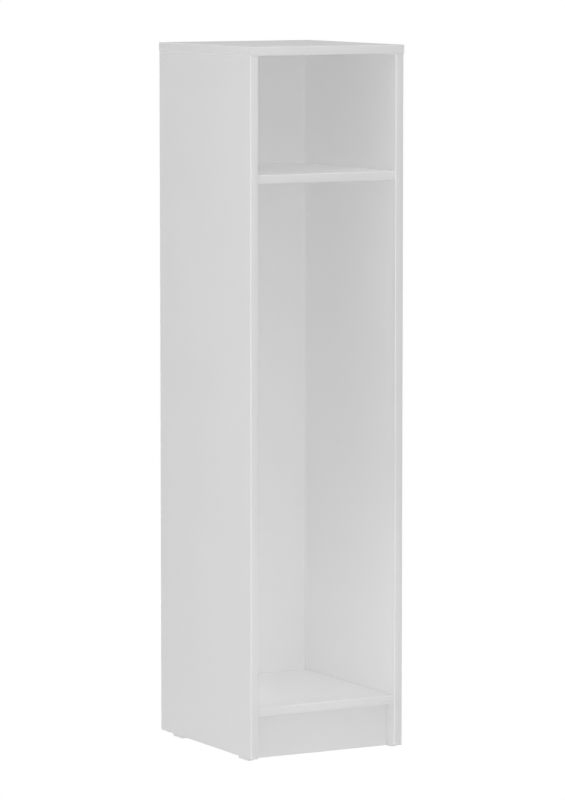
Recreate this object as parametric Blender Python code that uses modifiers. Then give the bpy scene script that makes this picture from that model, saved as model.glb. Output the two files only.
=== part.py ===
"""Open locker cabinet: a tall, narrow carcass of faced chipboard, dowelled and glued.

It has two side boards, a top laid over them, a hat shelf, a bottom shelf, a set back plinth and a
thin back panel that slides up in grooves.  Plastic edge bands close the boards' sawn edges, and
four nailed glides keep the side boards off the floor.

The origin is on the floor under the middle of the cabinet.  X runs across the open front, Y from
the front to the back, and Z up.  All sizes are in metres.
"""
from math import radians

import bmesh
import bpy
from mathutils import Matrix, Vector

OBJECT = "locker_cabinet"

# Outer size
WIDTH = 0.350                # over the two side boards
DEPTH = 0.392                # of the side boards
HEIGHT = 1.430               # floor to the upper face of the top board
TOP_OVERHANG = 0.0008        # of the top board past the sides and the front

# Boards
BOARD = 0.018                # thickness of every board but the back panel
HAT_SHELF_UNDERSIDE = 1.158  # height over the floor
HAT_SHELF_SETBACK = 0.010    # behind the side boards' front edges
BOTTOM_SHELF_UNDERSIDE = 0.090
BOTTOM_SHELF_SETBACK = 0.0025
PLINTH_SETBACK = 0.030
PLINTH_CLEARANCE = 0.001     # between the plinth and the floor
BACK_PANEL = 0.008           # thickness
BACK_PANEL_DEPTH = 0.3723    # from the side boards' front edges to the panel's front face
GROOVE_DEPTH = 0.009

# Edge bands
FRONT_BAND = 0.002
THIN_BAND = 0.001
BAND_ROUNDING = 0.0017
BAND_SEGMENTS = 4

# Glides
GLIDE_HEIGHT = 0.005
GLIDE_WIDTH = 0.015
GLIDE_LENGTH = 0.040
GLIDE_FROM_FRONT = 0.037     # side board's front edge to the middle of the front glide
GLIDE_FROM_REAR = 0.070
GLIDE_CORNER = 0.003
GLIDE_ROUNDING = 0.0014
NAIL_PITCH = 0.020

# Dowels
DOWEL_RADIUS = 0.004
DOWEL_LENGTH = 0.030
DOWEL_IN_FACE = 0.011        # how far a dowel goes into a board's face
DOWEL_CHAMFER = 0.001
ROW_FRONT = 0.037            # first dowel behind the side boards' front edges
ROW_PITCH = 0.144
PLINTH_DOWEL_HEIGHTS = (0.026, 0.066)
PLINTH_TOP_DOWEL_X = 0.090

# Nails and screws
NAIL_LENGTH = 0.018
NAIL_RADIUS = 0.0008
NAIL_HEAD_RADIUS = 0.0021
NAIL_HEAD = 0.0008
NAIL_RECESS = 0.0018         # head's lower face above the glide's lower face
SCREW_LENGTH = 0.030
SCREW_RADIUS = 0.00175
SCREW_HEAD_RADIUS = 0.0035
SCREW_HEAD = 0.0024
SCREW_TIP = 0.004
SCREW_X = 0.095

GAP = 0.0003                 # clearance between pieces that touch
ROUND_STEPS = 12
MERGE = 0.00001

# Places worked out from the sizes above
SIDE_FRONT = -0.5 * (DEPTH - TOP_OVERHANG)
SIDE_REAR = SIDE_FRONT + DEPTH
SIDE_OUTSIDE = 0.5 * WIDTH
SIDE_INSIDE = SIDE_OUTSIDE - BOARD
SIDE_MIDDLE = SIDE_OUTSIDE - 0.5 * BOARD
SIDE_TOP = HEIGHT - BOARD
TOP_OUTSIDE = SIDE_OUTSIDE + TOP_OVERHANG
TOP_FRONT = SIDE_FRONT - TOP_OVERHANG
BACK_FRONT_FACE = SIDE_FRONT + BACK_PANEL_DEPTH
BACK_REAR_FACE = BACK_FRONT_FACE + BACK_PANEL
PLINTH_FRONT = SIDE_FRONT + PLINTH_SETBACK
PLINTH_MIDDLE = PLINTH_FRONT + 0.5 * BOARD
ROWS = tuple(SIDE_FRONT + ROW_FRONT + row * ROW_PITCH for row in range(3))
SIDES = (("left", -1), ("right", 1))
ALONG_X = (0.0, radians(90), 0.0)
UPRIGHT = (0.0, 0.0, 0.0)
TOWARDS_FRONT = (radians(90), 0.0, 0.0)


def clear_scene():
    for old in list(bpy.data.objects):
        bpy.data.objects.remove(old, do_unlink=True)


def new_collection(name):
    collection = bpy.data.collections.new(name)
    bpy.context.scene.collection.children.link(collection)
    return collection


def new_material(name, colour, roughness, metallic=0.0):
    material = bpy.data.materials.new(name)
    material.use_nodes = True
    shader = material.node_tree.nodes["Principled BSDF"]
    shader.inputs["Base Color"].default_value = (*colour, 1.0)
    shader.inputs["Roughness"].default_value = roughness
    shader.inputs["Metallic"].default_value = metallic
    return material


clear_scene()
PARTS = new_collection(OBJECT)
CUTTERS = new_collection("cutters")

ROOT = bpy.data.objects.new(OBJECT + "_origin", None)
PARTS.objects.link(ROOT)

FACED_BOARD = ("faced_board", (0.66, 0.66, 0.66), 0.55)
EDGE_PLASTIC = ("edge_plastic", (0.67, 0.67, 0.67), 0.45)
BEECH = ("beech", (0.62, 0.42, 0.24), 0.70)
GLIDE_PLASTIC = ("glide_plastic", (0.65, 0.65, 0.65), 0.50)
ZINC_STEEL = ("zinc_steel", (0.60, 0.61, 0.63), 0.35, 1.0)


def place(name, mesh, location, finish, rotation=UPRIGHT):
    """Put a mesh into the cabinet as a part of its own, with its own material."""
    part = bpy.data.objects.new(name, mesh)
    part.location = location
    part.rotation_euler = rotation
    part.parent = ROOT
    mesh.materials.append(new_material(name + "_" + finish[0], *finish[1:]))
    PARTS.objects.link(part)
    return part


def cuboid(size):
    shape = bmesh.new()
    bmesh.ops.create_cube(shape, size=1.0, matrix=Matrix.Diagonal((*size, 1.0)))
    return shape


def finish_mesh(name, shape):
    mesh = bpy.data.meshes.new(name)
    shape.to_mesh(mesh)
    shape.free()
    return mesh


def centre_and_size(low, high):
    low, high = Vector(low), Vector(high)
    return (low + high) / 2, high - low


def board(name, low, high):
    """A plain board between two corners."""
    centre, size = centre_and_size(low, high)
    return place(name, finish_mesh(name, cuboid(size)), centre, FACED_BOARD)


def edge_band(name, low, high, outwards, round_ends=False):
    """A strip glued on a sawn edge, the long edges of its outer face rounded.

    With round_ends the rounding also runs round both ends, and the upright corners stay sharp.
    """
    centre, size = centre_and_size(low, high)
    outwards = Vector(outwards)
    length_axis = max(range(3), key=lambda axis: size[axis])
    shape = cuboid(size)
    rounded = []
    for edge in shape.edges:
        a, b = (vertex.co for vertex in edge.verts)
        on_outer_face = min(a.dot(outwards), b.dot(outwards)) > 0
        runs_along = abs((a - b)[length_axis]) > 0.5 * size[length_axis]
        crosses_an_end = abs((a - b).dot(outwards)) > 0.5 * abs(size.dot(outwards))
        if (on_outer_face and runs_along) or (round_ends and crosses_an_end):
            rounded.append(edge)
    radius = min(BAND_ROUNDING, 0.85 * abs(size.dot(outwards)))
    bmesh.ops.bevel(shape, geom=rounded, offset=radius, offset_type="OFFSET",
                    segments=BAND_SEGMENTS, profile=0.5, affect="EDGES", material=-1)
    return place(name, finish_mesh(name, shape), centre, EDGE_PLASTIC)


def turned(name, profile):
    """Turn a half outline, given as (radius, height) from its top down, about the Z axis."""
    shape = bmesh.new()
    points = [shape.verts.new((radius, 0.0, height)) for radius, height in profile]
    for upper, lower in zip(points, points[1:]):
        shape.edges.new((upper, lower))
    turned_object = bpy.data.objects.new(name, finish_mesh(name, shape))
    screw = turned_object.modifiers.new("Turn", "SCREW")
    screw.steps = ROUND_STEPS
    screw.render_steps = ROUND_STEPS
    screw.use_merge_vertices = True
    screw.merge_threshold = MERGE
    CUTTERS.objects.link(turned_object)
    depsgraph = bpy.context.evaluated_depsgraph_get()
    mesh = bpy.data.meshes.new_from_object(turned_object.evaluated_get(depsgraph))
    bpy.data.objects.remove(turned_object, do_unlink=True)
    mesh.shade_smooth()
    mesh.set_sharp_from_angle(angle=radians(35))
    mesh.name = name
    return mesh


def dowel_profile(ease=0.0):
    radius = DOWEL_RADIUS + ease
    half = 0.5 * DOWEL_LENGTH + 2 * ease
    return [(0.0, half), (radius - DOWEL_CHAMFER, half), (radius, half - DOWEL_CHAMFER),
            (radius, DOWEL_CHAMFER - half), (radius - DOWEL_CHAMFER, -half), (0.0, -half)]


def nail_profile(ease=0.0, opening=0.0):
    """A flat headed nail, point up, its head resting on the height 0; ease widens it to a hole."""
    radius = NAIL_RADIUS + ease
    head = NAIL_HEAD_RADIUS + ease
    shoulder = NAIL_HEAD + ease
    top = NAIL_LENGTH + ease
    return [(0.0, top), (radius, top - 2 * NAIL_RADIUS), (radius, shoulder),
            (head, shoulder), (head, -opening), (0.0, -opening)]


def screw_profile(ease=0.0, opening=0.0):
    """A countersunk screw, point up, the flat of its head at height 0."""
    radius = SCREW_RADIUS + ease
    head = SCREW_HEAD_RADIUS + ease
    top = SCREW_LENGTH + ease
    outline = [(0.0, top), (radius, top - SCREW_TIP), (radius, SCREW_HEAD + ease), (head, ease)]
    if opening:
        outline.append((head, -opening))
    return outline + [(0.0, -opening)]


def cut(part, shapes):
    """Cut closed shapes, each a (mesh, location, rotation), out of a part in one Boolean."""
    joined = bmesh.new()
    for mesh, location, rotation in shapes:
        piece = bmesh.new()
        piece.from_mesh(mesh)
        turn = Matrix.Rotation(rotation[1], 4, "Y") @ Matrix.Rotation(rotation[0], 4, "X")
        piece.transform(Matrix.Translation(location) @ turn)
        placed = finish_mesh("placed", piece)
        joined.from_mesh(placed)
        bpy.data.meshes.remove(placed)
    cutter = bpy.data.objects.new(part.name + "_cutter", finish_mesh(part.name + "_cutter", joined))
    cutter.display_type = "WIRE"
    cutter.hide_render = True
    CUTTERS.objects.link(cutter)
    boolean = part.modifiers.new("Cut", "BOOLEAN")
    boolean.operation = "DIFFERENCE"
    boolean.solver = "EXACT"
    boolean.object = cutter


def block(low, high):
    """A box shaped cutter between two corners."""
    centre, size = centre_and_size(low, high)
    return finish_mesh("block", cuboid(size)), centre, UPRIGHT


def make_side(side, sign):
    """A side board with a band on each of its four edges."""
    def span(inner, outer):
        return sorted((sign * inner, sign * outer))

    near, far = span(SIDE_INSIDE, SIDE_OUTSIDE)
    panel = board("side_panel_" + side,
                  (near, SIDE_FRONT + FRONT_BAND + GAP, GLIDE_HEIGHT + THIN_BAND + GAP),
                  (far, SIDE_REAR - THIN_BAND - GAP, SIDE_TOP - FRONT_BAND - 2 * GAP))
    edge_band("side_" + side + "_front_band",
              (near, SIDE_FRONT, GLIDE_HEIGHT),
              (far, SIDE_FRONT + FRONT_BAND, SIDE_TOP - GAP), (0, -1, 0))
    edge_band("side_" + side + "_rear_band",
              (near, SIDE_REAR - THIN_BAND, GLIDE_HEIGHT),
              (far, SIDE_REAR, SIDE_TOP - GAP), (0, 1, 0))
    bottom_band = edge_band("side_" + side + "_bottom_band",
                            (near, SIDE_FRONT + FRONT_BAND + GAP, GLIDE_HEIGHT),
                            (far, SIDE_REAR - THIN_BAND - GAP, GLIDE_HEIGHT + THIN_BAND), (0, 0, -1))
    top_band = edge_band("side_" + side + "_top_band",
                         (near, SIDE_FRONT + FRONT_BAND + GAP, SIDE_TOP - FRONT_BAND - GAP),
                         (far, SIDE_REAR - THIN_BAND - GAP, SIDE_TOP - GAP), (0, 0, 1))
    return panel, bottom_band, top_band


def groove(sign):
    """The upright groove for the back panel in a side board and its upper and lower bands."""
    inner, outer = sorted((sign * (SIDE_INSIDE - BOARD), sign * (SIDE_INSIDE + GROOVE_DEPTH)))
    return block((inner, BACK_FRONT_FACE - GAP, 0.0), (outer, BACK_REAR_FACE + GAP, HEIGHT))


def make_top():
    """The top board, its four edge bands, and a stopped groove for the back panel."""
    panel = board("top_panel",
                  (-TOP_OUTSIDE + FRONT_BAND + GAP, TOP_FRONT + FRONT_BAND + GAP, SIDE_TOP),
                  (TOP_OUTSIDE - FRONT_BAND - GAP, SIDE_REAR - FRONT_BAND - GAP, HEIGHT))
    edge_band("top_front_band", (-TOP_OUTSIDE, TOP_FRONT, SIDE_TOP),
              (TOP_OUTSIDE, TOP_FRONT + FRONT_BAND, HEIGHT), (0, -1, 0), round_ends=True)
    edge_band("top_rear_band", (-TOP_OUTSIDE, SIDE_REAR - FRONT_BAND, SIDE_TOP),
              (TOP_OUTSIDE, SIDE_REAR, HEIGHT), (0, 1, 0), round_ends=True)
    for side, sign in SIDES:
        left, right = sorted((sign * TOP_OUTSIDE, sign * (TOP_OUTSIDE - FRONT_BAND)))
        edge_band("top_" + side + "_band", (left, TOP_FRONT + FRONT_BAND + GAP, SIDE_TOP),
                  (right, SIDE_REAR - FRONT_BAND - GAP, HEIGHT), (sign, 0, 0))
    reach = SIDE_INSIDE + GROOVE_DEPTH
    slot = block((-reach, BACK_FRONT_FACE - GAP, SIDE_TOP - BOARD),
                 (reach, BACK_REAR_FACE + GAP, SIDE_TOP + GROOVE_DEPTH))
    return panel, slot


def make_shelf(name, underside, setback):
    """A board between the sides that ends against the back panel, with a band on its front."""
    end = SIDE_INSIDE - GAP
    front = SIDE_FRONT + setback
    edge_band(name + "_front_band", (-end, front, underside),
              (end, front + FRONT_BAND, underside + BOARD), (0, -1, 0))
    return board(name, (-end, front + FRONT_BAND + GAP, underside),
                 (end, BACK_FRONT_FACE - GAP, underside + BOARD))


def make_plinth():
    end = SIDE_INSIDE - GAP
    front, rear = PLINTH_FRONT, PLINTH_FRONT + BOARD
    edge_band("plinth_bottom_band", (-end, front, PLINTH_CLEARANCE),
              (end, rear, PLINTH_CLEARANCE + THIN_BAND), (0, 0, -1))
    return board("plinth_panel", (-end, front, PLINTH_CLEARANCE + THIN_BAND + GAP),
                 (end, rear, BOTTOM_SHELF_UNDERSIDE - GAP))


def make_back():
    """The thin back panel, from the top board's groove down to the bottom shelf's underside."""
    reach = SIDE_INSIDE + GROOVE_DEPTH - 2 * GAP
    return board("back_panel", (-reach, BACK_FRONT_FACE, BOTTOM_SHELF_UNDERSIDE),
                 (reach, BACK_REAR_FACE, SIDE_TOP + GROOVE_DEPTH - 2 * GAP))


def dowel_places():
    """Every dowel as (name, centre, rotation, the pieces that it goes into)."""
    face_to_middle = 0.5 * DOWEL_LENGTH - DOWEL_IN_FACE
    places = []
    for side, sign in SIDES:
        panel = "side_panel_" + side
        for row, y in enumerate(ROWS, 1):
            height = SIDE_TOP - face_to_middle
            places.append((f"dowel_top_{side}_{row}", (sign * SIDE_MIDDLE, y, height),
                           UPRIGHT, (panel, f"side_{side}_top_band", "top_panel")))
        across = sign * (SIDE_INSIDE - face_to_middle)
        for row, y in enumerate(ROWS, 1):
            middle = BOTTOM_SHELF_UNDERSIDE + 0.5 * BOARD
            places.append((f"dowel_bottom_shelf_{side}_{row}", (across, y, middle),
                           ALONG_X, (panel, "bottom_shelf")))
        for row, y in enumerate((ROWS[0], ROWS[-1]), 1):
            middle = HAT_SHELF_UNDERSIDE + 0.5 * BOARD
            places.append((f"dowel_hat_shelf_{side}_{row}", (across, y, middle),
                           ALONG_X, (panel, "hat_shelf")))
        for row, height in enumerate(PLINTH_DOWEL_HEIGHTS, 1):
            places.append((f"dowel_plinth_{side}_{row}", (across, PLINTH_MIDDLE, height),
                           ALONG_X, (panel, "plinth_panel")))
        places.append((f"dowel_plinth_top_{side}",
                       (sign * PLINTH_TOP_DOWEL_X, PLINTH_MIDDLE,
                        BOTTOM_SHELF_UNDERSIDE - face_to_middle),
                       UPRIGHT, ("plinth_panel", "bottom_shelf")))
    return places


def make_glide(side, sign, end, y):
    """A rectangular glide with rounded corners, nailed under a side board."""
    name = f"glide_{end}_{side}"
    shape = cuboid((GLIDE_WIDTH, GLIDE_LENGTH, GLIDE_HEIGHT - GAP))
    upright = [edge for edge in shape.edges
               if abs(edge.verts[0].co.z - edge.verts[1].co.z) > MERGE]
    bmesh.ops.bevel(shape, geom=upright, offset=GLIDE_CORNER, offset_type="OFFSET",
                    segments=4, profile=0.5, affect="EDGES", material=-1)
    lower = [edge for edge in shape.edges if max(v.co.z for v in edge.verts) < 0]
    bmesh.ops.bevel(shape, geom=lower, offset=GLIDE_ROUNDING, offset_type="OFFSET",
                    segments=3, profile=0.5, affect="EDGES", material=-1)
    centre = (sign * SIDE_MIDDLE, y, 0.5 * (GLIDE_HEIGHT - GAP))
    return place(name, finish_mesh(name, shape), centre, GLIDE_PLASTIC)


def make_cabinet():
    sides = {}
    bottom_bands = {}
    top_bands = {}
    for side, sign in SIDES:
        sides[side], bottom_bands[side], top_bands[side] = make_side(side, sign)
    top, top_slot = make_top()
    hat_shelf = make_shelf("hat_shelf", HAT_SHELF_UNDERSIDE, HAT_SHELF_SETBACK)
    bottom_shelf = make_shelf("bottom_shelf", BOTTOM_SHELF_UNDERSIDE, BOTTOM_SHELF_SETBACK)
    plinth = make_plinth()
    back = make_back()

    cuts = {part.name: [] for part in (top, hat_shelf, bottom_shelf, plinth, back)}
    cuts[top.name].append(top_slot)
    for side, sign in SIDES:
        for grooved in (sides[side], bottom_bands[side], top_bands[side]):
            cuts[grooved.name] = [groove(sign)]

    dowel = turned("dowel", dowel_profile())
    dowel_hole = turned("dowel_hole", dowel_profile(GAP))
    for name, centre, rotation, pierced in dowel_places():
        place(name, dowel.copy(), centre, BEECH, rotation)
        for piece_name in pierced:
            cuts[piece_name].append((dowel_hole, centre, rotation))

    screw = turned("screw", screw_profile())
    screw_hole = turned("screw_hole", screw_profile(GAP, opening=0.002))
    for shelf, underside in ((hat_shelf, HAT_SHELF_UNDERSIDE), (bottom_shelf, BOTTOM_SHELF_UNDERSIDE)):
        for side, sign in SIDES:
            centre = (sign * SCREW_X, BACK_REAR_FACE, underside + 0.5 * BOARD)
            name = f"back_screw_{shelf.name}_{side}"
            place(name, screw.copy(), centre, ZINC_STEEL, TOWARDS_FRONT)
            for joined in (back.name, shelf.name):
                cuts[joined].append((screw_hole, centre, TOWARDS_FRONT))

    nail = turned("nail", nail_profile())
    nail_hole = turned("nail_hole", nail_profile(GAP, opening=2 * NAIL_RECESS))
    for side, sign in SIDES:
        for end, y in (("front", SIDE_FRONT + GLIDE_FROM_FRONT), ("rear", SIDE_REAR - GLIDE_FROM_REAR)):
            glide = make_glide(side, sign, end, y)
            cuts[glide.name] = []
            for number, along in ((1, -0.5 * NAIL_PITCH), (2, 0.5 * NAIL_PITCH)):
                centre = (sign * SIDE_MIDDLE, y + along, NAIL_RECESS)
                place(f"nail_{end}_{side}_{number}", nail.copy(), centre, ZINC_STEEL)
                for pierced in (glide.name, bottom_bands[side].name, sides[side].name):
                    cuts[pierced].append((nail_hole, centre, UPRIGHT))

    for name, shapes in cuts.items():
        cut(bpy.data.objects[name], shapes)
    for pattern in (dowel, dowel_hole, screw, screw_hole, nail, nail_hole):
        bpy.data.meshes.remove(pattern)


make_cabinet()
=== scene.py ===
# %% [markdown]
# # An open locker cabinet
# A locker cabinet for a cloakroom is a plain carcass of faced chipboard: two tall sides, a top laid
# over them, a hat shelf, a bottom shelf, a plinth and a thin back panel in grooves. This lesson
# builds what the eye sees of it. The sizes and places are fixed by a frame that was made before, and
# everything here is worked out from that frame.

# %% Load the frame
import math

import bmesh
import bpy
from mathutils import Matrix, Vector


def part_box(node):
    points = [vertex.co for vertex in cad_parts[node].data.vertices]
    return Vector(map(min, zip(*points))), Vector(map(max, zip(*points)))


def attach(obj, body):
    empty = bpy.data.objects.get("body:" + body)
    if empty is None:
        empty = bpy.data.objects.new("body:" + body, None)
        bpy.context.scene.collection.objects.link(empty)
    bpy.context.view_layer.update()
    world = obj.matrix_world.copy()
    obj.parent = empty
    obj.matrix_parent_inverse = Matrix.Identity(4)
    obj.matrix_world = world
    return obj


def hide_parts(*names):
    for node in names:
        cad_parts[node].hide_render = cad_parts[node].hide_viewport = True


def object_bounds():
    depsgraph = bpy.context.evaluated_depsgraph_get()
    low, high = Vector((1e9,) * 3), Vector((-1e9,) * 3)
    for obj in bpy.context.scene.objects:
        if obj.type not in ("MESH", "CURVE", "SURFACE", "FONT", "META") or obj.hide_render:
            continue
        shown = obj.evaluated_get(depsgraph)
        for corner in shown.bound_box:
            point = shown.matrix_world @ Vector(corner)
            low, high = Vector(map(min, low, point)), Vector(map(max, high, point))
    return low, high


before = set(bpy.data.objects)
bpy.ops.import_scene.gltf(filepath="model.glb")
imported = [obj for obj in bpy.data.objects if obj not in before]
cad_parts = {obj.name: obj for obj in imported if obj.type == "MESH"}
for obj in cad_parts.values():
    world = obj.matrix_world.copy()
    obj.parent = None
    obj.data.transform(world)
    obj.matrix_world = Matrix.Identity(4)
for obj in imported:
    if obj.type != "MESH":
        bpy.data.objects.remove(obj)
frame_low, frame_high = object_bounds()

BODY = "root"
MM = 0.001
print("frame:", len(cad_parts), "nodes,", [round(x / MM, 1) for x in frame_high - frame_low], "mm")

# %% [markdown]
# ## The camera
# The cabinet is seen from its left front corner, from a little above and from far away through a
# long lens, so its upright edges stay almost parallel. The camera is placed by its direction and
# distance from the point that it looks at, which is easier to read than three coordinates. That point
# is a few millimetres to the right of the box's middle and below it, to centre the picture.

# %% Camera
VIEW_AZIMUTH = math.radians(-28.80)
VIEW_ELEVATION = math.radians(6.086)
VIEW_DISTANCE = 9.317
VIEW_LENS = 205.2
VIEW_REACH = 400
AIM_RIGHT = 4.1 * MM
AIM_DOWN = 11.8 * MM


def direction(azimuth, elevation):
    """The way from the cabinet to something that stands in front of it at these angles."""
    flat = math.cos(elevation)
    return Vector((math.sin(azimuth) * flat, -math.cos(azimuth) * flat, math.sin(elevation)))


middle = (frame_low + frame_high) / 2
camera = bpy.data.objects.new("camera", bpy.data.cameras.new("camera"))
turn = direction(VIEW_AZIMUTH, VIEW_ELEVATION).to_track_quat("Z", "Y")
camera.rotation_euler = turn.to_euler()
camera.location = middle + turn @ Vector((AIM_RIGHT, -AIM_DOWN, VIEW_DISTANCE))
camera.data.lens = VIEW_LENS
camera.data.clip_end = VIEW_REACH
bpy.context.scene.collection.objects.link(camera)
bpy.context.scene.camera = camera
print("camera at", [round(x, 3) for x in camera.location])

# %% [markdown]
# ## Shared patterns
# Several finishes share the same small effects, so each effect is a node group with named sockets:
# a fine pearl grain, the faint clouds that a cloth leaves on a wiped surface, lines that run along a
# strip, and a painted highlight on a rounded edge. A group gives out only values, and each material
# decides what they do.

# %% A node group with named sockets
def new_group(name, inputs, outputs, reads_position=True):
    group = bpy.data.node_groups.new(name, "ShaderNodeTree")
    if reads_position:
        group.interface.new_socket("Position", in_out="INPUT", socket_type="NodeSocketVector")
    for label, value in inputs:
        socket = group.interface.new_socket(label, in_out="INPUT", socket_type="NodeSocketFloat")
        socket.default_value = value
    for label in outputs:
        group.interface.new_socket(label, in_out="OUTPUT", socket_type="NodeSocketFloat")
    return group, group.nodes.new("NodeGroupInput"), group.nodes.new("NodeGroupOutput")


def add_node(tree, kind, **settings):
    node = tree.nodes.new(kind)
    for key, value in settings.items():
        setattr(node, key, value)
    return node


def noise(tree, detail, roughness=0.5):
    node = add_node(tree, "ShaderNodeTexNoise")
    node.inputs["Detail"].default_value = detail
    node.inputs["Roughness"].default_value = roughness
    return node


def maths(tree, operation, first, second):
    """A Math node; each input is a socket or a plain number."""
    node = add_node(tree, "ShaderNodeMath", operation=operation)
    for socket, value in zip(node.inputs, (first, second)):
        if isinstance(value, bpy.types.NodeSocket):
            tree.links.new(value, socket)
        else:
            socket.default_value = value
    return node.outputs[0]


def weighted(tree, first, first_share, second, second_share):
    """Two patterns added up, each with its own share."""
    return maths(tree, "ADD", maths(tree, "MULTIPLY", first, first_share),
                 maths(tree, "MULTIPLY", second, second_share))


# %% Pearl grain
# Coarse and fine noise make the film's grain, and a third texture adds its shallow pits.
pearl, given, result = new_group("pearl_grain", [("Grains per metre", 1400.0)], ["Height", "Speck"])
coarse = noise(pearl, 2.0)
fine = noise(pearl, 3.0, 0.6)
pits = add_node(pearl, "ShaderNodeTexVoronoi", feature="SMOOTH_F1")
for texture, factor in ((coarse, 1.0), (fine, 3.1), (pits, 1.6)):
    pearl.links.new(given.outputs["Position"], texture.inputs["Vector"])
    pearl.links.new(maths(pearl, "MULTIPLY", given.outputs["Grains per metre"], factor),
                    texture.inputs["Scale"])
grains = weighted(pearl, coarse.outputs[0], 0.55, fine.outputs[0], 0.25)
pearl.links.new(weighted(pearl, grains, 1.0, pits.outputs["Distance"], 0.35), result.inputs["Height"])
pearl.links.new(fine.outputs[0], result.inputs["Speck"])
print("pearl grain:", len(pearl.nodes), "nodes")

# %% Wiping clouds
clouds, given, result = new_group("wiping_clouds", [("Clouds per metre", 5.0)], ["Cloud"])
wide = noise(clouds, 4.0, 0.55)
clouds.links.new(given.outputs["Position"], wide.inputs["Vector"])
clouds.links.new(given.outputs["Clouds per metre"], wide.inputs["Scale"])
clouds.links.new(wide.outputs[0], result.inputs["Cloud"])
print("wiping clouds:", len(clouds.nodes), "nodes")

# %% Lines along a strip
# The position is squeezed along the strip before it reaches the noise, so each grain of the noise
# is drawn out into a line.
strokes, given, result = new_group("lines_along", [("Lines per metre", 900.0)], ["Line"])
drawn = noise(strokes, 2.0)
strokes.links.new(given.outputs["Position"], drawn.inputs["Vector"])
strokes.links.new(given.outputs["Lines per metre"], drawn.inputs["Scale"])
strokes.links.new(drawn.outputs[0], result.inputs["Line"])
print("lines along a strip:", len(strokes.nodes), "nodes")

# %% Painted highlight on roundings
# The normal of a flat face lies along an axis, so the largest of its three parts is 1. On a rounding
# it is smaller, and this mask picks the rounding out so that a highlight can be painted on it.
painted_highlight, given, result = new_group("painted_rounding_highlight", [("Flat from", 0.97)], ["Scraped"],
                                   reads_position=False)
surface = add_node(painted_highlight, "ShaderNodeNewGeometry")
parts = add_node(painted_highlight, "ShaderNodeSeparateXYZ")
painted_highlight.links.new(surface.outputs["Normal"], parts.inputs[0])
sizes = [maths(painted_highlight, "ABSOLUTE", part, 0.0) for part in parts.outputs]
largest = maths(painted_highlight, "MAXIMUM", maths(painted_highlight, "MAXIMUM", sizes[0], sizes[1]), sizes[2])
painted_highlight.links.new(maths(painted_highlight, "LESS_THAN", largest, given.outputs["Flat from"]),
                  result.inputs["Scraped"])
print("scraped rounding:", len(painted_highlight.nodes), "nodes")

# %% [markdown]
# ## Finishes
# The boards are faced with a matt, light grey melamine film with a pearl grain that is felt more
# than seen. The edge bands are the same grey in a slightly glossier plastic. Where a saw or a
# cutter went through a board, its brown chips show.

# %% Tools for a finish
def new_finish(name, roughness, metallic=0.0, specular=0.5):
    material = bpy.data.materials.new(name)
    material.use_nodes = True
    tree = material.node_tree
    shader = tree.nodes["Principled BSDF"]
    shader.inputs["Roughness"].default_value = roughness
    shader.inputs["Metallic"].default_value = metallic
    shader.inputs["Specular IOR Level"].default_value = specular
    return material, tree, shader


def position(tree, stretch=(1, 1, 1)):
    """Object coordinates, in metres, squeezed where the pattern should be drawn out."""
    place = add_node(tree, "ShaderNodeTexCoord")
    mapping = add_node(tree, "ShaderNodeMapping")
    mapping.inputs["Scale"].default_value = stretch
    tree.links.new(place.outputs["Object"], mapping.inputs["Vector"])
    return mapping.outputs["Vector"]


def use_group(tree, group, at=None, **values):
    node = add_node(tree, "ShaderNodeGroup", node_tree=group)
    if at is not None:
        tree.links.new(at, node.inputs["Position"])
    for label, value in values.items():
        node.inputs[label.replace("_", " ")].default_value = value
    return node


def ramp(tree, value, *stops):
    """A colour ramp with (place, colour) stops, colours without their alpha."""
    node = add_node(tree, "ShaderNodeValToRGB")
    tree.links.new(value, node.inputs["Fac"])
    marks = node.color_ramp.elements
    while len(marks) < len(stops):
        marks.new(0.5)
    for mark, (place, colour) in zip(marks, stops):
        mark.position = place
        mark.color = (*colour, 1.0)
    return node.outputs["Color"]


def grey(value):
    return (value, value, value)


def vary_roughness(tree, shader, pattern, spread):
    """Roughness that wanders round the finish's own value as a pattern does."""
    roughness = shader.inputs["Roughness"]
    least = roughness.default_value - spread / 2
    tree.links.new(maths(tree, "ADD", maths(tree, "MULTIPLY", pattern, spread), least), roughness)


def bump(tree, shader, height, depth):
    node = add_node(tree, "ShaderNodeBump")
    node.inputs["Strength"].default_value = 1.0
    node.inputs["Distance"].default_value = depth
    tree.links.new(height, node.inputs["Height"])
    tree.links.new(node.outputs["Normal"], shader.inputs["Normal"])


BOARD_GREY = 0.70
print("board grey:", BOARD_GREY)

# %% Melamine facing
def make_facing(name, tone, roughness):
    material, tree, shader = new_finish(name, roughness, specular=0.4)
    at = position(tree)
    grain = use_group(tree, pearl, at)
    cloud = use_group(tree, clouds, at)
    mixed = weighted(tree, grain.outputs["Speck"], 0.5, cloud.outputs["Cloud"], 0.5)
    tree.links.new(ramp(tree, mixed, (0.3, grey(tone * 0.985)), (0.7, grey(tone * 1.015))),
                   shader.inputs["Base Color"])
    vary_roughness(tree, shader, cloud.outputs["Cloud"], 0.14)
    bump(tree, shader, grain.outputs["Height"], 0.03 * MM)
    return material


facing = make_facing("melamine_facing", BOARD_GREY, 0.52)
back_facing = make_facing("back_panel_facing", BOARD_GREY * 0.99, 0.56)
print("facings:", facing.name, back_facing.name)

# %% Bare chipboard
chipboard, tree, shader = new_finish("bare_chipboard", 0.85, specular=0.2)
at = position(tree, (1, 0.45, 1))
chips = add_node(tree, "ShaderNodeTexVoronoi")
chips.inputs["Scale"].default_value = 520.0
dust = noise(tree, 6.0, 0.65)
dust.inputs["Scale"].default_value = 900.0
for texture in (chips, dust):
    tree.links.new(at, texture.inputs["Vector"])
flake = weighted(tree, chips.outputs["Distance"], 0.45, dust.outputs[0], 0.65)
tree.links.new(ramp(tree, flake, (0.25, (0.16, 0.095, 0.045)), (0.5, (0.40, 0.27, 0.15)),
                    (0.8, (0.62, 0.47, 0.30))), shader.inputs["Base Color"])
bump(tree, shader, flake, 0.4 * MM)
print("bare board:", chipboard.name)

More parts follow.
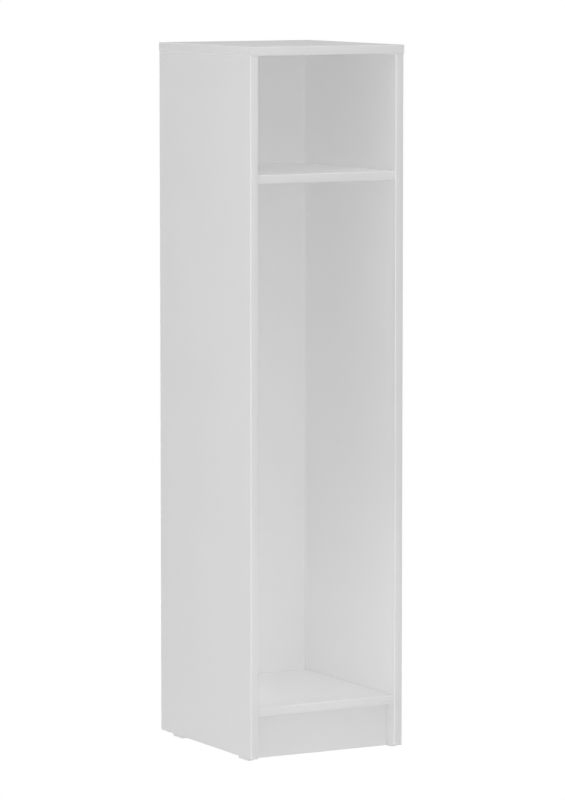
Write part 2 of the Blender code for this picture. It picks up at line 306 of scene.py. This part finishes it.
# %% Edge plastic
RUN_STRETCH = {"x": (0.04, 1, 1), "y": (1, 0.04, 1), "z": (1, 1, 0.04)}


def make_edge_plastic(run):
    """The moulding lines run along the strip, and a painted highlight makes the rounding a little
    paler.
    """
    material, tree, shader = new_finish("edge_plastic_along_" + run, 0.40, specular=0.5)
    lines = use_group(tree, strokes, position(tree, RUN_STRETCH[run]))
    cloud = use_group(tree, clouds, position(tree), Clouds_per_metre=14.0)
    edge = use_group(tree, painted_highlight)
    # The rounding mask adds a painted highlight: the plastic is drawn paler on the rounding.
    lines_and_highlight = maths(tree, "ADD", lines.outputs["Line"], edge.outputs["Scraped"])
    tree.links.new(ramp(tree, lines_and_highlight, (0.3, grey(BOARD_GREY * 0.99)), (0.7, grey(BOARD_GREY * 1.01)),
                        (1.0, grey(BOARD_GREY * 1.06))), shader.inputs["Base Color"])
    vary_roughness(tree, shader, cloud.outputs["Cloud"], 0.16)
    bump(tree, shader, lines.outputs["Line"], 0.04 * MM)
    return material


edge_plastic = {run: make_edge_plastic(run) for run in "xyz"}
print("edge plastics:", len(edge_plastic))

# %% Glide plastic
glide_plastic, tree, shader = new_finish("glide_plastic", 0.465, specular=0.5)
at = position(tree)
grain = use_group(tree, pearl, at, Grains_per_metre=2600.0)
cloud = use_group(tree, clouds, at, Clouds_per_metre=120.0)
tree.links.new(ramp(tree, cloud.outputs["Cloud"], (0.3, grey(BOARD_GREY * 0.94)),
                    (0.7, grey(BOARD_GREY * 0.98))), shader.inputs["Base Color"])
vary_roughness(tree, shader, grain.outputs["Speck"], 0.25)
bump(tree, shader, grain.outputs["Height"], 0.03 * MM)
print("glides:", glide_plastic.name)

# %% Beech
def make_beech(run):
    """Short dark flecks and long pale fibres, both along the dowel."""
    material, tree, shader = new_finish("beech_along_" + run, 0.7, specular=0.3)
    fibres = use_group(tree, strokes, position(tree, RUN_STRETCH[run]), Lines_per_metre=2600.0)
    flecks = use_group(tree, pearl, position(tree, RUN_STRETCH[run]), Grains_per_metre=1200.0)
    mixed = weighted(tree, fibres.outputs["Line"], 0.6, flecks.outputs["Height"], 0.5)
    tree.links.new(ramp(tree, mixed, (0.3, (0.42, 0.25, 0.13)), (0.55, (0.62, 0.42, 0.24)),
                        (0.8, (0.74, 0.55, 0.36))), shader.inputs["Base Color"])
    bump(tree, shader, fibres.outputs["Line"], 0.1 * MM)
    return material


beech = {run: make_beech(run) for run in "xz"}
print("beech:", len(beech), "directions")

# %% Zinc plated steel
zinc_steel, tree, shader = new_finish("zinc_steel", 0.355, metallic=1.0)
at = position(tree)
grain = use_group(tree, pearl, at, Grains_per_metre=5200.0)
cloud = use_group(tree, clouds, at, Clouds_per_metre=420.0)
tree.links.new(ramp(tree, cloud.outputs["Cloud"], (0.3, (0.56, 0.57, 0.60)), (0.7, grey(0.68))),
               shader.inputs["Base Color"])
vary_roughness(tree, shader, grain.outputs["Speck"], 0.35)
bump(tree, shader, grain.outputs["Height"], 0.01 * MM)
print("steel:", zinc_steel.name)

# %% [markdown]
# ## Tools for the pieces
# Every piece starts as a small bmesh, is placed in the cabinet's own coordinates, and then joins
# the frame: it rides on the cabinet, stands for a plain solid of the frame, which is hidden, and gets
# its finishes.

# %% From a bmesh to a piece
WELD = 0.002 * MM
LEVEL = 0.05 * MM


def to_piece(name, shape, materials, node, smooth_angle=None):
    mesh = bpy.data.meshes.new(name)
    shape.to_mesh(mesh)
    shape.free()
    for material in materials:
        mesh.materials.append(material)
    if smooth_angle is not None:
        mesh.shade_smooth()
        mesh.set_sharp_from_angle(angle=math.radians(smooth_angle))
    piece = bpy.data.objects.new(name, mesh)
    bpy.context.scene.collection.objects.link(piece)
    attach(piece, BODY)
    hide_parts(node)
    return piece


def box_between(low, high):
    shape = bmesh.new()
    bmesh.ops.create_cube(shape, size=1.0)
    bmesh.ops.scale(shape, vec=high - low, verts=shape.verts)
    bmesh.ops.translate(shape, vec=(low + high) / 2, verts=shape.verts)
    return shape


def round_edges(shape, edges, radius, segments):
    bmesh.ops.bevel(shape, geom=edges, offset=radius, offset_type="OFFSET", segments=segments,
                    profile=0.5, affect="EDGES", material=-1)


def climbs(edge):
    """Whether one end of an edge is higher than the other."""
    return abs(edge.verts[0].co.z - edge.verts[1].co.z) > LEVEL


def spin_profile(profile, steps):
    """Turn a half outline of (radius, height) points about the Z axis."""
    shape = bmesh.new()
    points = [shape.verts.new((radius, 0, height)) for radius, height in profile]
    outline = [shape.edges.new(pair) for pair in zip(points, points[1:])]
    bmesh.ops.spin(shape, geom=points + outline, cent=(0, 0, 0), axis=(0, 0, 1), dvec=(0, 0, 0),
                   angle=math.tau, steps=steps, use_merge=True)
    bmesh.ops.remove_doubles(shape, verts=shape.verts, dist=WELD)
    bmesh.ops.recalc_face_normals(shape, faces=shape.faces)
    return shape


def moved(shape, matrix):
    copy = shape.copy()
    copy.transform(matrix)
    return copy


def run_axis(low, high):
    """The letter of the axis that a strip or a dowel runs along."""
    size = high - low
    return "xyz"[max(range(3), key=lambda axis: size[axis])]


# %% Cutting grooves and holes
# A Boolean takes the cutters away from a piece in one go. The cutters wear what the piece is made of
# inside, so every wall that they leave shows it.
def machine(piece, cutters, inside):
    joined = bpy.data.meshes.new("cutters")
    both = bmesh.new()
    for cutter in cutters:
        part = bpy.data.meshes.new("cutter")
        cutter.to_mesh(part)
        cutter.free()
        both.from_mesh(part)
        bpy.data.meshes.remove(part)
    both.to_mesh(joined)
    both.free()
    joined.materials.append(inside)
    tool = bpy.data.objects.new("cutters", joined)
    bpy.context.scene.collection.objects.link(tool)
    boolean = piece.modifiers.new("machining", "BOOLEAN")
    boolean.operation = "DIFFERENCE"
    boolean.solver = "EXACT"
    boolean.material_mode = "TRANSFER"
    boolean.object = tool
    depsgraph = bpy.context.evaluated_depsgraph_get()
    machined = bpy.data.meshes.new_from_object(piece.evaluated_get(depsgraph))
    piece.modifiers.clear()
    piece.data = machined
    bpy.data.objects.remove(tool, do_unlink=True)


# %% [markdown]
# ## Where the joinery sits
# Dowels, screws and nails are small bodies in the frame, so their boxes say where the holes go. A
# board gets a hole wherever one of these boxes reaches into it.

# %% Dowels, screws and nails in the frame
HOLE_EASE = 0.05 * MM
CUT_PAST = 1.0 * MM
TURNING_STEPS = 32
names = sorted(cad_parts)
dowel_nodes = [name for name in names if name.startswith("dowel_")]
screw_nodes = [name for name in names if name.startswith("back_screw_")]
nail_nodes = [name for name in names if name.startswith("nail_")]
glide_nodes = [name for name in names if name.startswith("glide_")]
band_nodes = [name for name in names if name.endswith("_band")]
print(len(dowel_nodes), "dowels,", len(screw_nodes), "screws,", len(nail_nodes), "nails,",
      len(glide_nodes), "glides,", len(band_nodes), "edge bands")


def overlaps(first, second):
    return all(first[0][i] < second[1][i] and second[0][i] < first[1][i] for i in range(3))


def upright_to(axis):
    """Turns something that stands along Z so that it lies along another axis."""
    turns = {"x": Matrix.Rotation(math.radians(90), 4, "Y"),
             "y": Matrix.Rotation(math.radians(90), 4, "X"),
             "z": Matrix.Identity(4)}
    return turns[axis]


def hole_for(node):
    """A closed cylinder a little wider than a dowel, along the dowel."""
    low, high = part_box(node)
    axis = run_axis(low, high)
    length = max(high - low)
    radius = 0.5 * min(high - low)
    shape = bmesh.new()
    bmesh.ops.create_cone(shape, cap_ends=True, segments=TURNING_STEPS, radius1=radius + HOLE_EASE,
                          radius2=radius + HOLE_EASE, depth=length + CUT_PAST)
    shape.transform(Matrix.Translation((low + high) / 2) @ upright_to(axis))
    return shape


# %% Screw and nail outlines
SCREW_HEAD_RADIUS = 3.5 * MM
SCREW_HEAD_HEIGHT = 2.4 * MM
SCREW_SHANK_RADIUS = 1.25 * MM
SCREW_TIP_LENGTH = 4.0 * MM
NAIL_HEAD_RADIUS = 2.1 * MM
NAIL_SHANK_RADIUS = 0.8 * MM
NAIL_HEAD_HEIGHT = 0.8 * MM
NAIL_SINK = 3.0 * MM


def screw_outline(length, ease=0.0, opening=0.0):
    """Point up, the flat of the countersunk head at height 0."""
    rim = 0.25 * MM
    return [(0, length + ease),
            (SCREW_SHANK_RADIUS + ease, length - SCREW_TIP_LENGTH),
            (SCREW_SHANK_RADIUS + ease, SCREW_HEAD_HEIGHT + ease),
            (SCREW_HEAD_RADIUS + ease, rim + ease),
            (SCREW_HEAD_RADIUS + ease, -opening),
            (0, -opening)]


def nail_outline(length, ease=0.0, opening=0.0):
    """Point up, the head's outer face at height 0."""
    return [(0, length + ease),
            (NAIL_SHANK_RADIUS + ease, length - 2 * NAIL_SHANK_RADIUS),
            (NAIL_SHANK_RADIUS + ease, NAIL_HEAD_HEIGHT + 1.2 * NAIL_SHANK_RADIUS + ease),
            (1.5 * NAIL_SHANK_RADIUS + ease, NAIL_HEAD_HEIGHT + ease),
            (NAIL_HEAD_RADIUS + ease, NAIL_HEAD_HEIGHT + ease),
            (NAIL_HEAD_RADIUS + ease, -opening),
            (0, -opening)]


def screw_place(node):
    low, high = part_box(node)
    head = Vector(((low.x + high.x) / 2, high.y, (low.z + high.z) / 2))
    return high.y - low.y, Matrix.Translation(head) @ upright_to("y")


def nail_place(node):
    low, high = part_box(node)
    head = Vector(((low.x + high.x) / 2, (low.y + high.y) / 2, low.z))
    return high.z - low.z, Matrix.Translation(head)


def joinery_cutters(box):
    """Every hole that reaches into a box."""
    cutters = []
    for node in dowel_nodes:
        if overlaps(box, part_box(node)):
            cutters.append(hole_for(node))
    for node in screw_nodes:
        if overlaps(box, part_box(node)):
            length, place = screw_place(node)
            outline = screw_outline(length, HOLE_EASE, CUT_PAST)
            cutters.append(moved(spin_profile(outline, TURNING_STEPS), place))
    for node in nail_nodes:
        if overlaps(box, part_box(node)):
            length, place = nail_place(node)
            outline = nail_outline(length, HOLE_EASE, NAIL_SINK)
            cutters.append(moved(spin_profile(outline, TURNING_STEPS), place))
    return cutters


# %% [markdown]
# ## Boards
# A board is a block whose two wide faces wear the melamine and whose sawn edges show chipboard. In
# the frame each board keeps a small clearance to its edge bands; here it grows until only a hair
# line of glue is left.

# %% A board
GLUE_LINE = 0.05 * MM
EDGE_BREAK = 0.12 * MM


def grown_to_bands(node, bands):
    low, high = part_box(node)
    for band in bands:
        band_low, band_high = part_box(band)
        for axis in range(3):
            if band_high[axis] <= low[axis]:
                low[axis] = band_high[axis] + GLUE_LINE
            elif band_low[axis] >= high[axis]:
                high[axis] = band_low[axis] - GLUE_LINE
    return low, high


def make_board(name, node, bands, skin=facing, grooves=()):
    low, high = grown_to_bands(node, bands)
    size = high - low
    thin = min(range(3), key=lambda axis: size[axis])
    shape = box_between(low, high)
    round_edges(shape, shape.edges[:], EDGE_BREAK, 1)
    for face in shape.faces:
        face.material_index = 0 if abs(face.normal[thin]) > 0.5 else 1
    piece = to_piece(name, shape, [skin, chipboard], node)
    cutters = joinery_cutters((low, high)) + [box_between(*groove) for groove in grooves]
    machine(piece, cutters, chipboard)
    print(name, [round(x / MM, 1) for x in size], "mm,", len(cutters), "cuts,",
          len(piece.data.polygons), "faces")
    return piece


# %% Grooves for the back panel
back_low, back_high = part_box("back_panel")
top_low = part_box("top_panel")[0]
GROOVE_EASE = 0.15 * MM
OUTSIDE = 5 * MM


def side_groove(node):
    """From the back panel's edge to past the board's inner face, over the board's whole height."""
    low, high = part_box(node)
    if low.x < 0:
        near, far = back_low.x - GROOVE_EASE, high.x + OUTSIDE
    else:
        near, far = low.x - OUTSIDE, back_high.x + GROOVE_EASE
    return (Vector((near, back_low.y - GROOVE_EASE, low.z - OUTSIDE)),
            Vector((far, back_high.y + GROOVE_EASE, high.z + OUTSIDE)))


top_groove = (Vector((back_low.x - GROOVE_EASE, back_low.y - GROOVE_EASE, top_low.z - OUTSIDE)),
              Vector((back_high.x + GROOVE_EASE, back_high.y + GROOVE_EASE, back_high.z + GROOVE_EASE)))

# %% [markdown]
# ### Sides and top
# The sides carry everything: the shelves hang between them on dowels, and the top lies on their
# upper ends and stands a hair proud of them all round, so that it never looks too short.

# %% Sides and top
for side in ("left", "right"):
    node = "side_panel_" + side
    bands = [f"side_{side}_{edge}_band" for edge in ("front", "rear", "bottom", "top")]
    make_board("side_board_" + side, node, bands, grooves=[side_groove(node)])
top_bands = [f"top_{edge}_band" for edge in ("front", "rear", "left", "right")]
make_board("top_board", "top_panel", top_bands, grooves=[top_groove])

# %% [markdown]
# ### Shelves, plinth and back
# The two shelves stop against the back panel, which slid up from below before two screws pulled it
# against each of them. The plinth stands back, where shoes can't scuff it.

# %% Shelves, plinth and back
make_board("hat_shelf_board", "hat_shelf", ["hat_shelf_front_band"])
make_board("bottom_shelf_board", "bottom_shelf", ["bottom_shelf_front_band"])
make_board("plinth_board", "plinth_panel", ["plinth_bottom_band"])
make_board("back_board", "back_panel", [], skin=back_facing)

# %% [markdown]
# ## Edge bands
# A band is glued on as a flat strip, trimmed flush, and its outer edges are rounded by a cutter.
# That rounding catches the light as a thin bright line, which is how the eye finds a board's edge, and
# its plastic carries a painted highlight as well. The rounding goes on over the ends of the top's front
# and rear bands, where it turns the corner.

# %% Edge bands
ROUND_SEGMENTS = 8
ROUNDED_SHARE = 0.92
neighbours = {"top_left_band": ("top_front_band", "top_rear_band"),
              "top_right_band": ("top_front_band", "top_rear_band")}
for side in ("left", "right"):
    for edge in ("bottom", "top"):
        neighbours[f"side_{side}_{edge}_band"] = (f"side_{side}_front_band", f"side_{side}_rear_band")


def outer_direction(node):
    """The way a band's free face looks, told by the word in its name."""
    words = {"front": (0, -1, 0), "rear": (0, 1, 0), "bottom": (0, 0, -1), "top": (0, 0, 1),
             "left": (-1, 0, 0), "right": (1, 0, 0)}
    return Vector(words[node.split("_")[-2]])


def make_band(node):
    low, high = grown_to_bands(node, neighbours.get(node, ()))
    outwards = outer_direction(node)
    run = run_axis(low, high)
    run_index = "xyz".index(run)
    thickness = abs((high - low).dot(outwards))
    middle = (low + high) / 2
    shape = box_between(low, high)
    round_ends = node in ("top_front_band", "top_rear_band")
    rounded = []
    for edge in shape.edges:
        a, b = (vertex.co - middle for vertex in edge.verts)
        outer = min(a.dot(outwards), b.dot(outwards)) > 0
        along = abs((a - b)[run_index]) > 0.5 * (high - low)[run_index]
        over_an_end = abs((a - b).dot(outwards)) > 0.5 * thickness
        if (outer and along) or (round_ends and over_an_end):
            rounded.append(edge)
    round_edges(shape, rounded, ROUNDED_SHARE * thickness, ROUND_SEGMENTS)
    piece = to_piece(node.replace("_band", "_edging"), shape, [edge_plastic[run]], node,
                     smooth_angle=40)
    cutters = joinery_cutters((low, high))
    if node.endswith(("_bottom_band", "_top_band")) and node.startswith("side_"):
        cutters.append(box_between(*side_groove(node)))
    if cutters:
        machine(piece, cutters, edge_plastic[run])
    return piece


for node in band_nodes:
    make_band(node)
print(len(band_nodes), "edge bands")

# %% [markdown]
# ## Glides and nails
# Under each side sit two small plastic glides, so the sawn board never stands in water when the
# floor is mopped. Each is held by two nails whose heads are sunk below the gliding face.

# %% Glides
GLIDE_CORNER = 3.0 * MM
GLIDE_ROUNDING = 1.5 * MM
CORNER_SEGMENTS = 8
RIM_SEGMENTS = 5
side_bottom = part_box("side_left_bottom_band")[0].z
for node in glide_nodes:
    low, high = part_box(node)
    high.z = side_bottom
    shape = box_between(low, high)
    corners = [edge for edge in shape.edges if climbs(edge)]
    round_edges(shape, corners, GLIDE_CORNER, CORNER_SEGMENTS)
    lower_rim = [edge for edge in shape.edges
                 if max(vertex.co.z for vertex in edge.verts) < low.z + LEVEL]
    round_edges(shape, lower_rim, GLIDE_ROUNDING, RIM_SEGMENTS)
    piece = to_piece(node + "_foot", shape, [glide_plastic], node, smooth_angle=40)
    machine(piece, joinery_cutters((low, high)), glide_plastic)
print(len(glide_nodes), "glides,", round((side_bottom - frame_low.z) / MM, 1), "mm high")

# %% Nails
for node in nail_nodes:
    length, place = nail_place(node)
    shape = spin_profile(nail_outline(length), TURNING_STEPS)
    shape.transform(place)
    to_piece(node + "_pin", shape, [zinc_steel], node, smooth_angle=30)
print(len(nail_nodes), "nails")

# %% [markdown]
# ## Back screws
# A countersunk chipboard screw has a cross recess and a coarse thread. The thread is a small
# triangle carried round the shank on a rising path, which one spin with a step upwards makes.

# %% Back screws
THREAD_RADIUS = 1.75 * MM
THREAD_PITCH = 1.9 * MM
THREAD_HALF_WIDTH = 0.42 * MM
STEPS_PER_TURN = 24
RECESS_DEPTH = 1.9 * MM
RECESS_SPAN = 3.6 * MM
RECESS_WIDTH = 0.85 * MM
RECESS_TAPER = 0.4
RECESS_PROUD = 0.01 * MM


def thread(start, end):
    turns = (end - start) / THREAD_PITCH
    steps = round(turns * STEPS_PER_TURN)
    shape = bmesh.new()
    inner = 0.8 * SCREW_SHANK_RADIUS
    triangle = [(inner, -THREAD_HALF_WIDTH), (THREAD_RADIUS, 0), (inner, THREAD_HALF_WIDTH)]
    corners = [shape.verts.new((radius, 0, start + height)) for radius, height in triangle]
    outline = [shape.edges.new((corners[i], corners[(i + 1) % 3])) for i in range(3)]
    bmesh.ops.spin(shape, geom=corners + outline, cent=(0, 0, 0), axis=(0, 0, 1),
                   dvec=(0, 0, THREAD_PITCH / STEPS_PER_TURN), angle=math.tau * steps / STEPS_PER_TURN,
                   steps=steps)
    bmesh.ops.holes_fill(shape, edges=shape.edges, sides=3)
    bmesh.ops.recalc_face_normals(shape, faces=shape.faces)
    return shape


def recess():
    """Two crossed wedges, wide at the head's face and narrow below it."""
    half_diagonal = RECESS_SPAN / math.sqrt(2)
    wedges = []
    for turn in (0, 90):
        wedge = bmesh.new()
        bmesh.ops.create_cone(wedge, cap_ends=True, segments=4, depth=RECESS_DEPTH,
                              radius1=half_diagonal, radius2=RECESS_TAPER * half_diagonal)
        wedge.transform(Matrix.Translation((0, 0, 0.5 * RECESS_DEPTH - RECESS_PROUD))
                        @ Matrix.Rotation(math.radians(turn), 4, "Z")
                        @ Matrix.Diagonal((1, RECESS_WIDTH / RECESS_SPAN, 1, 1))
                        @ Matrix.Rotation(math.radians(45), 4, "Z"))
        wedges.append(wedge)
    return wedges


def make_screw(node):
    length, place = screw_place(node)
    shape = spin_profile(screw_outline(length), TURNING_STEPS)
    winding = thread(SCREW_HEAD_HEIGHT + THREAD_PITCH, length - 0.6 * SCREW_TIP_LENGTH)
    joined = bpy.data.meshes.new("thread")
    winding.to_mesh(joined)
    winding.free()
    shape.from_mesh(joined)
    bpy.data.meshes.remove(joined)
    piece = to_piece(node + "_screw", shape, [zinc_steel], node, smooth_angle=30)
    machine(piece, recess(), zinc_steel)
    piece.data.transform(place)
    return piece


for node in screw_nodes:
    make_screw(node)
print(len(screw_nodes), "back screws")

# %% [markdown]
# ## Dowels
# A fluted beech dowel lets the glue rise past it. The flutes are cut by pulling every second
# stretch of a plain cylinder inwards, and both ends are chamfered so that they find their holes.

# %% Dowels
FLUTES = 20
FLUTE_DEPTH = 0.25 * MM
STEPS_PER_FLUTE = 4
DOWEL_CHAMFER = 1.0 * MM


def make_dowel(node):
    low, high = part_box(node)
    run = run_axis(low, high)
    radius = 0.5 * min(high - low)
    length = max(high - low)
    shape = bmesh.new()
    bmesh.ops.create_cone(shape, cap_ends=True, segments=FLUTES * STEPS_PER_FLUTE, radius1=radius,
                          radius2=radius, depth=length)
    rims = [edge for edge in shape.edges if not climbs(edge)]
    round_edges(shape, rims, DOWEL_CHAMFER, 2)
    for vertex in shape.verts:
        angle = math.atan2(vertex.co.y, vertex.co.x)
        valley = 0.5 - 0.5 * math.cos(FLUTES * angle)
        vertex.co.xy *= 1 - valley * FLUTE_DEPTH / radius
    shape.transform(Matrix.Translation((low + high) / 2) @ upright_to(run))
    return to_piece(node + "_beech", shape, [beech[run]], node, smooth_angle=50)


for node in dowel_nodes:
    make_dowel(node)
print(len(dowel_nodes), "dowels")

# %% [markdown]
# ## Floor and light
# A product picture wants even light and a floor as white as paper. A white floor under lamps is too
# bright near them and grey away from them, and where it is too bright it eats into the cabinet's
# outline. So the camera sees an even white glow, and only the cabinet meets the lit floor.

# %% One thing for the camera, another for the light
def show_to_camera(tree, lit, shown, output):
    """The camera sees the second shader, and every other ray meets the first."""
    ray = add_node(tree, "ShaderNodeLightPath")
    either = add_node(tree, "ShaderNodeMixShader")
    tree.links.new(ray.outputs["Is Camera Ray"], either.inputs["Fac"])
    tree.links.new(lit.outputs[0], either.inputs[1])
    tree.links.new(shown.outputs[0], either.inputs[2])
    tree.links.new(either.outputs[0], output.inputs["Surface"])


# %% Floor
FLOOR_RADIUS = 150
floor_shape = bmesh.new()
bmesh.ops.create_circle(floor_shape, cap_ends=True, segments=64, radius=FLOOR_RADIUS)
floor_mesh = bpy.data.meshes.new("floor")
floor_shape.to_mesh(floor_mesh)
floor_shape.free()
floor = bpy.data.objects.new("floor", floor_mesh)
floor.location.z = frame_low.z
bpy.context.scene.collection.objects.link(floor)
floor_finish, tree, shader = new_finish("pale_floor", 0.9, specular=0.1)
shader.inputs["Base Color"].default_value = (0.9, 0.9, 0.9, 1)
glow = add_node(tree, "ShaderNodeEmission")
glow.inputs["Color"].default_value = (1, 1, 1, 1)
glow.inputs["Strength"].default_value = 1.0
show_to_camera(tree, shader, glow, tree.nodes["Material Output"])
floor_mesh.materials.append(floor_finish)

# %% [markdown]
# ### Surround
# The surround is bright near the horizon and dark overhead, as in a studio with white walls and no
# lamp on the ceiling. The camera sees plain white instead.

# %% Surround
WALL_GLOW = 0.54
world = bpy.data.worlds.new("surround")
world.use_nodes = True
bpy.context.scene.world = world
tree = world.node_tree
walls = tree.nodes["Background"]
walls.inputs["Strength"].default_value = WALL_GLOW
sky = add_node(tree, "ShaderNodeTexCoord")
split = add_node(tree, "ShaderNodeSeparateXYZ")
tree.links.new(sky.outputs["Generated"], split.inputs[0])
tree.links.new(ramp(tree, split.outputs["Z"], (0.5, grey(1.0)), (1.0, grey(0.0))),
               walls.inputs["Color"])
paper = add_node(tree, "ShaderNodeBackground")
paper.inputs["Color"].default_value = (1, 1, 1, 1)
show_to_camera(tree, walls, paper, tree.nodes["World Output"])

# %% [markdown]
# ### Lights
# Three lights give the shadows. Three more throw none: they stand for all the light that a white studio
# sends round every corner and up from its floor, and they keep the compartments nearly as bright as
# the outside. The last one stands behind the cabinet, straight opposite the camera, for whoever walks
# round it. A light is given as its azimuth and elevation in degrees, its size in metres, its power in
# watts, and whether it throws shadows.

# %% Studio lights
LIGHT_DISTANCE = 4.0


def put_light(name, lamp, power, place, away):
    """A lamp shines along its own -Z, so its Z is turned away from what it lights."""
    lamp.energy = power
    stand = bpy.data.objects.new(name, lamp)
    stand.location = place
    stand.rotation_euler = away.to_track_quat("Z", "Y").to_euler()
    bpy.context.scene.collection.objects.link(stand)
    return stand


studio_lights = [("key_light", -10, 55, 2.4, 18.0, True), ("top_light", -20, 75, 2.4, 15.0, True),
                 ("left_light", -95, 15, 2.4, 13.0, True), ("front_fill", -50, 10, 2.4, 56.5, False),
                 ("top_fill", -20, 75, 2.4, 42.0, False), ("low_fill", -20, -35, 2.4, 9.0, False),
                 ("rear_light", 151, 0, 1.2, 80.0, True)]
for name, azimuth, elevation, size, power, shadow in studio_lights:
    lamp = bpy.data.lights.new(name, "AREA")
    lamp.size = size
    lamp.use_shadow = shadow
    # This way of sampling would lose a shadowless lamp's light inside the compartments.
    lamp.cycles.use_multiple_importance_sampling = shadow
    towards = direction(math.radians(azimuth), math.radians(elevation))
    put_light(name, lamp, power, middle + LIGHT_DISTANCE * towards, towards)
print(len(studio_lights), "studio lights")

# %% [markdown]
# ### Compartment lights
# Two weak panels in the opening of the coat compartment shine inwards, one over its whole height and
# one on the bottom shelf. A third lies on the left side board and lights the foot of the right one.
# The camera doesn't see them. A panel is given as its middle, the way that its back looks, its width,
# its height and its power.

# %% Compartment lights
opening_middle = (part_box("bottom_shelf")[1].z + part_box("hat_shelf")[0].z) / 2
frontwards = (0, -1, 0)
leftwards = (-1, 0, 0)
compartment_lights = [("coat_light", (0, -0.185, opening_middle), frontwards, 0.30, 1.0, 0.088),
                      ("shelf_light", (0, -0.26, 0.29), frontwards, 0.26, 0.34, 0.065),
                      ("foot_light", (-0.15, 0, 0.19), leftwards, 0.30, 0.15, 0.070)]
for name, place, away, width, tall, power in compartment_lights:
    lamp = bpy.data.lights.new(name, "AREA")
    lamp.shape = "RECTANGLE"
    lamp.size, lamp.size_y = width, tall
    panel = put_light(name, lamp, power, place, Vector(away))
    panel.visible_camera = False
    panel.visible_glossy = False
bpy.context.scene.view_settings.view_transform = "Standard"
print(len(compartment_lights), "compartment lights")
